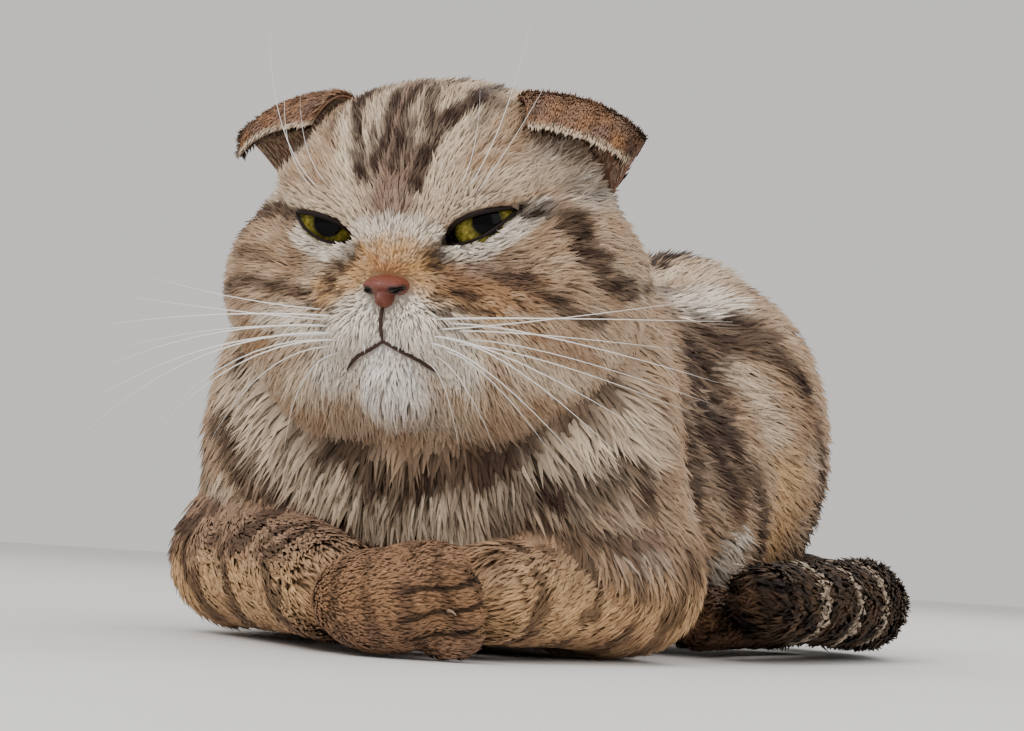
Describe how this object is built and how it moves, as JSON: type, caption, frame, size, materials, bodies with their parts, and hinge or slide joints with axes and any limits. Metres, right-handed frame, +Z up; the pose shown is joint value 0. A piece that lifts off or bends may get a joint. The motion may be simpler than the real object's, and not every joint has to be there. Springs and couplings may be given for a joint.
{
  "type": "scottish fold cat",
  "caption": "Life-size still model of a tabby cat with folded ears, lying on its belly with crossed forepaws and its tail along one side.",
  "frame": {"origin": "centre of the flat that the belly rests on", "axes": "+Z up, -Y the way the head faces, +X the cat's left side"},
  "size_m": [0.2127, 0.4068, 0.1831],
  "materials": {
    "coat": "short dense fur, brown tabby over a cream ground",
    "cream": "short dense fur, tan with darker bands",
    "dark": "short dense fur, nearly black brown",
    "ear": "very short brown fur over thin skin",
    "nose": "bare brick-red nose leather",
    "eye": "wet gloss, olive iris and dark pupil"
  },
  "bodies": {
    "root": {"head": "coat", "neck": "coat", "torso": "coat", "upper_arm_left": "coat", "upper_arm_right": "coat", "thigh_left": "coat", "thigh_right": "coat", "forearm_left": "cream", "forearm_right": "cream", "forepaw_left": "coat", "forepaw_right": "coat", "hind_foot_left": "cream", "hind_foot_right": "cream", "tail_base": "coat", "tail_middle": "coat", "tail_tip": "dark", "ear_left": "ear", "ear_right": "ear", "eye_left": "eye", "eye_right": "eye", "nose": "nose"}
  },
  "joints": []
}
